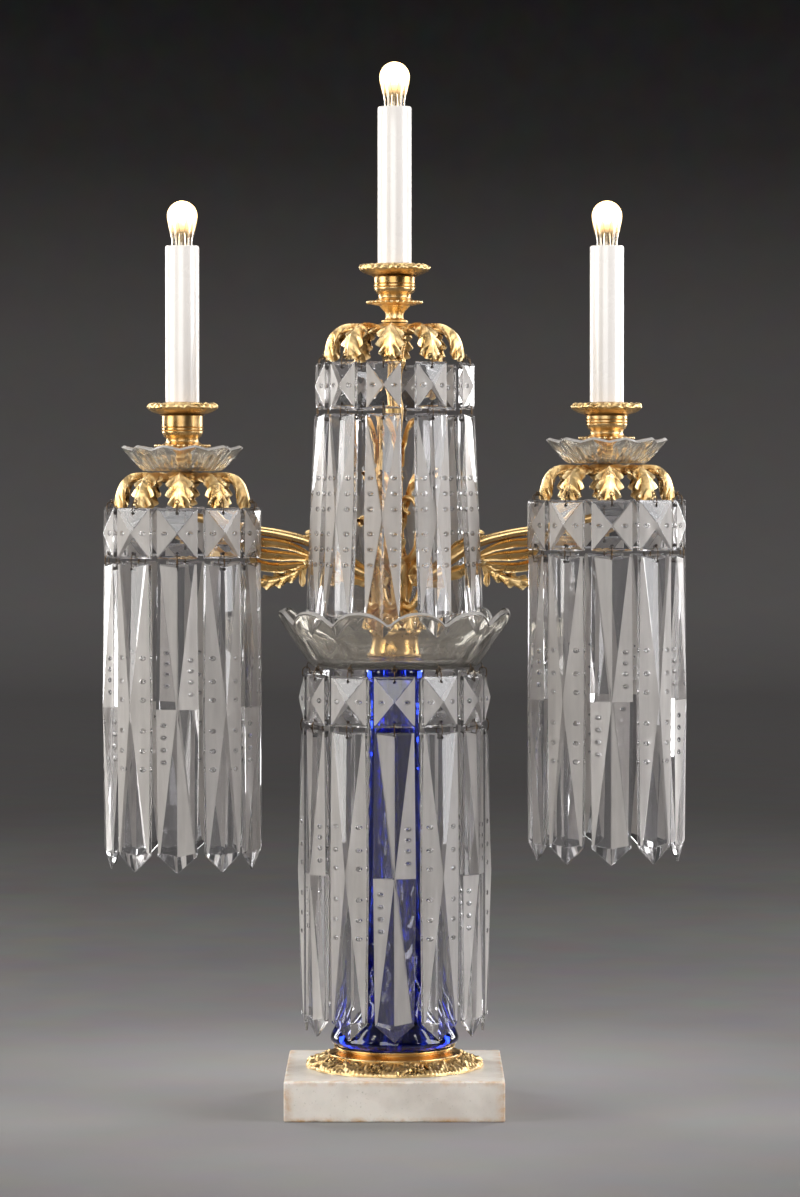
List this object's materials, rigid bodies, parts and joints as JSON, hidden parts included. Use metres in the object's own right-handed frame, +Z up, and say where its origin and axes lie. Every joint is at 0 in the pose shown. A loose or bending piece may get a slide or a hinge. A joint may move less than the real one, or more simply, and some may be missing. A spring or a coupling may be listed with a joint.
{
  "type": "tabletop candelabra",
  "caption": "Electric table candelabra: marble block, blue glass pedestal, clear glass dish, gilt branches and candles, hung with swinging cut-glass pendants.",
  "frame": {"origin": "centre of the underside of the marble block", "axes": "+Z up through the central candle, +X towards the right branch, front towards -Y"},
  "size_m": [0.3752, 0.1508, 0.6748],
  "materials": {
    "marble": "honed",
    "gilt": "polished gilding",
    "steel": "satin",
    "black_fitting": "moulded",
    "blue_glass": "polished",
    "dish_glass": "polished",
    "crystal": "cut, polished and frosted facets",
    "bulb_glass": "clear, lit",
    "sleeve_white": "glossy"
  },
  "bodies": {
    "stand": {"marble_base": "marble", "lead_bushing": "black_fitting", "foot_mount": "gilt", "glass_pedestal": "blue_glass", "tie_bolt": "steel", "centre_dish": "dish_glass", "dish_socket": "gilt", "branch_stem": "gilt", "arm_left": "gilt", "arm_right": "gilt", "crown_top": "gilt", "crown_left": "gilt", "crown_right": "gilt", "bobeche_left": "dish_glass", "bobeche_right": "dish_glass", "upper_pendants": "crystal", "candle_cup_top": "gilt", "candle_sleeve_top": "sleeve_white", "lampholder_top": "black_fitting", "bulb_top": "bulb_glass", "candle_cup_left": "gilt", "candle_sleeve_left": "sleeve_white", "lampholder_left": "black_fitting", "bulb_left": "bulb_glass", "candle_cup_right": "gilt", "candle_sleeve_right": "sleeve_white", "lampholder_right": "black_fitting", "bulb_right": "bulb_glass"},
    "dish_pendant_00": {"dish_pendant_00": "crystal"},
    "dish_pendant_01": {"dish_pendant_01": "crystal"},
    "dish_pendant_02": {"dish_pendant_02": "crystal"},
    "dish_pendant_03": {"dish_pendant_03": "crystal"},
    "dish_pendant_04": {"dish_pendant_04": "crystal"},
    "dish_pendant_05": {"dish_pendant_05": "crystal"},
    "dish_pendant_06": {"dish_pendant_06": "crystal"},
    "dish_pendant_07": {"dish_pendant_07": "crystal"},
    "dish_pendant_08": {"dish_pendant_08": "crystal"},
    "dish_pendant_09": {"dish_pendant_09": "crystal"},
    "dish_pendant_10": {"dish_pendant_10": "crystal"},
    "dish_pendant_11": {"dish_pendant_11": "crystal"},
    "left_pendant_00": {"left_pendant_00": "crystal"},
    "left_pendant_01": {"left_pendant_01": "crystal"},
    "left_pendant_02": {"left_pendant_02": "crystal"},
    "left_pendant_03": {"left_pendant_03": "crystal"},
    "left_pendant_04": {"left_pendant_04": "crystal"},
    "left_pendant_05": {"left_pendant_05": "crystal"},
    "left_pendant_06": {"left_pendant_06": "crystal"},
    "left_pendant_07": {"left_pendant_07": "crystal"},
    "left_pendant_08": {"left_pendant_08": "crystal"},
    "left_pendant_09": {"left_pendant_09": "crystal"},
    "right_pendant_00": {"right_pendant_00": "crystal"},
    "right_pendant_01": {"right_pendant_01": "crystal"},
    "right_pendant_02": {"right_pendant_02": "crystal"},
    "right_pendant_03": {"right_pendant_03": "crystal"},
    "right_pendant_04": {"right_pendant_04": "crystal"},
    "right_pendant_05": {"right_pendant_05": "crystal"},
    "right_pendant_06": {"right_pendant_06": "crystal"},
    "right_pendant_07": {"right_pendant_07": "crystal"},
    "right_pendant_08": {"right_pendant_08": "crystal"},
    "right_pendant_09": {"right_pendant_09": "crystal"}
  },
  "joints": [
    {"name": "dish_pendant_00_swing", "type": "hinge", "parent": "stand", "child": "dish_pendant_00", "pos_m": [0, -0.0571, 0.2838], "axis": [-1, 0, 0], "range_deg": [-1.5, 25]},
    {"name": "dish_pendant_01_swing", "type": "hinge", "parent": "stand", "child": "dish_pendant_01", "pos_m": [0.02855, -0.04945, 0.2838], "axis": [-0.866, -0.5, 0], "range_deg": [-1.5, 25]},
    {"name": "dish_pendant_02_swing", "type": "hinge", "parent": "stand", "child": "dish_pendant_02", "pos_m": [0.04945, -0.02855, 0.2838], "axis": [-0.5, -0.866, 0], "range_deg": [-1.5, 8]},
    {"name": "dish_pendant_03_swing", "type": "hinge", "parent": "stand", "child": "dish_pendant_03", "pos_m": [0.0571, 0, 0.2838], "axis": [0, -1, 0], "range_deg": [-1.5, 3]},
    {"name": "dish_pendant_04_swing", "type": "hinge", "parent": "stand", "child": "dish_pendant_04", "pos_m": [0.04945, 0.02855, 0.2838], "axis": [0.5, -0.866, 0], "range_deg": [-1.5, 8]},
    {"name": "dish_pendant_05_swing", "type": "hinge", "parent": "stand", "child": "dish_pendant_05", "pos_m": [0.02855, 0.04945, 0.2838], "axis": [0.866, -0.5, 0], "range_deg": [-1.5, 25]},
    {"name": "dish_pendant_06_swing", "type": "hinge", "parent": "stand", "child": "dish_pendant_06", "pos_m": [0, 0.0571, 0.2838], "axis": [1, 0, 0], "range_deg": [-1.5, 25]},
    {"name": "dish_pendant_07_swing", "type": "hinge", "parent": "stand", "child": "dish_pendant_07", "pos_m": [-0.02855, 0.04945, 0.2838], "axis": [0.866, 0.5, 0], "range_deg": [-1.5, 25]},
    {"name": "dish_pendant_08_swing", "type": "hinge", "parent": "stand", "child": "dish_pendant_08", "pos_m": [-0.04945, 0.02855, 0.2838], "axis": [0.5, 0.866, 0], "range_deg": [-1.5, 8]},
    {"name": "dish_pendant_09_swing", "type": "hinge", "parent": "stand", "child": "dish_pendant_09", "pos_m": [-0.0571, 0, 0.2838], "axis": [0, 1, 0], "range_deg": [-1.5, 3]},
    {"name": "dish_pendant_10_swing", "type": "hinge", "parent": "stand", "child": "dish_pendant_10", "pos_m": [-0.04945, -0.02855, 0.2838], "axis": [-0.5, 0.866, 0], "range_deg": [-1.5, 8]},
    {"name": "dish_pendant_11_swing", "type": "hinge", "parent": "stand", "child": "dish_pendant_11", "pos_m": [-0.02855, -0.04945, 0.2838], "axis": [-0.866, 0.5, 0], "range_deg": [-1.5, 25]},
    {"name": "left_pendant_00_swing", "type": "hinge", "parent": "stand", "child": "left_pendant_00", "pos_m": [-0.0921, 0.01632, 0.3905], "axis": [0.342, -0.9397, 0], "range_deg": [-1.5, 3]},
    {"name": "left_pendant_01_swing", "type": "hinge", "parent": "stand", "child": "left_pendant_01", "pos_m": [-0.10995, 0.03935, 0.3905], "axis": [0.8247, -0.5656, 0], "range_deg": [-1.5, 10]},
    {"name": "left_pendant_02_swing", "type": "hinge", "parent": "stand", "child": "left_pendant_02", "pos_m": [-0.13786, 0.04771, 0.3905], "axis": [0.9998, 0.0194, 0], "range_deg": [-1.5, 25]},
    {"name": "left_pendant_03_swing", "type": "hinge", "parent": "stand", "child": "left_pendant_03", "pos_m": [-0.16543, 0.03828, 0.3905], "axis": [0.8021, 0.5972, 0], "range_deg": [-1.5, 25]},
    {"name": "left_pendant_04_swing", "type": "hinge", "parent": "stand", "child": "left_pendant_04", "pos_m": [-0.18238, 0.01457, 0.3905], "axis": [0.3053, 0.9522, 0], "range_deg": [-1.5, 25]},
    {"name": "left_pendant_05_swing", "type": "hinge", "parent": "stand", "child": "left_pendant_05", "pos_m": [-0.18238, -0.01457, 0.3905], "axis": [-0.3053, 0.9522, 0], "range_deg": [-1.5, 25]},
    {"name": "left_pendant_06_swing", "type": "hinge", "parent": "stand", "child": "left_pendant_06", "pos_m": [-0.16543, -0.03828, 0.3905], "axis": [-0.8021, 0.5972, 0], "range_deg": [-1.5, 25]},
    {"name": "left_pendant_07_swing", "type": "hinge", "parent": "stand", "child": "left_pendant_07", "pos_m": [-0.13786, -0.04771, 0.3905], "axis": [-0.9998, 0.0194, 0], "range_deg": [-1.5, 25]},
    {"name": "left_pendant_08_swing", "type": "hinge", "parent": "stand", "child": "left_pendant_08", "pos_m": [-0.10995, -0.03935, 0.3905], "axis": [-0.8247, -0.5656, 0], "range_deg": [-1.5, 10]},
    {"name": "left_pendant_09_swing", "type": "hinge", "parent": "stand", "child": "left_pendant_09", "pos_m": [-0.0921, -0.01632, 0.3905], "axis": [-0.342, -0.9397, 0], "range_deg": [-1.5, 3]},
    {"name": "right_pendant_00_swing", "type": "hinge", "parent": "stand", "child": "right_pendant_00", "pos_m": [0.0921, 0.01632, 0.3955], "axis": [0.342, 0.9397, 0], "range_deg": [-1.5, 3]},
    {"name": "right_pendant_01_swing", "type": "hinge", "parent": "stand", "child": "right_pendant_01", "pos_m": [0.10995, 0.03935, 0.3955], "axis": [0.8247, 0.5656, 0], "range_deg": [-1.5, 10]},
    {"name": "right_pendant_02_swing", "type": "hinge", "parent": "stand", "child": "right_pendant_02", "pos_m": [0.13786, 0.04771, 0.3955], "axis": [0.9998, -0.0194, 0], "range_deg": [-1.5, 25]},
    {"name": "right_pendant_03_swing", "type": "hinge", "parent": "stand", "child": "right_pendant_03", "pos_m": [0.16543, 0.03828, 0.3955], "axis": [0.8021, -0.5972, 0], "range_deg": [-1.5, 25]},
    {"name": "right_pendant_04_swing", "type": "hinge", "parent": "stand", "child": "right_pendant_04", "pos_m": [0.18238, 0.01457, 0.3955], "axis": [0.3053, -0.9522, 0], "range_deg": [-1.5, 25]},
    {"name": "right_pendant_05_swing", "type": "hinge", "parent": "stand", "child": "right_pendant_05", "pos_m": [0.18238, -0.01457, 0.3955], "axis": [-0.3053, -0.9522, 0], "range_deg": [-1.5, 25]},
    {"name": "right_pendant_06_swing", "type": "hinge", "parent": "stand", "child": "right_pendant_06", "pos_m": [0.16543, -0.03828, 0.3955], "axis": [-0.8021, -0.5972, 0], "range_deg": [-1.5, 25]},
    {"name": "right_pendant_07_swing", "type": "hinge", "parent": "stand", "child": "right_pendant_07", "pos_m": [0.13786, -0.04771, 0.3955], "axis": [-0.9998, -0.0194, 0], "range_deg": [-1.5, 25]},
    {"name": "right_pendant_08_swing", "type": "hinge", "parent": "stand", "child": "right_pendant_08", "pos_m": [0.10995, -0.03935, 0.3955], "axis": [-0.8247, 0.5656, 0], "range_deg": [-1.5, 10]},
    {"name": "right_pendant_09_swing", "type": "hinge", "parent": "stand", "child": "right_pendant_09", "pos_m": [0.0921, -0.01632, 0.3955], "axis": [-0.342, 0.9397, 0], "range_deg": [-1.5, 3]}
  ]
}
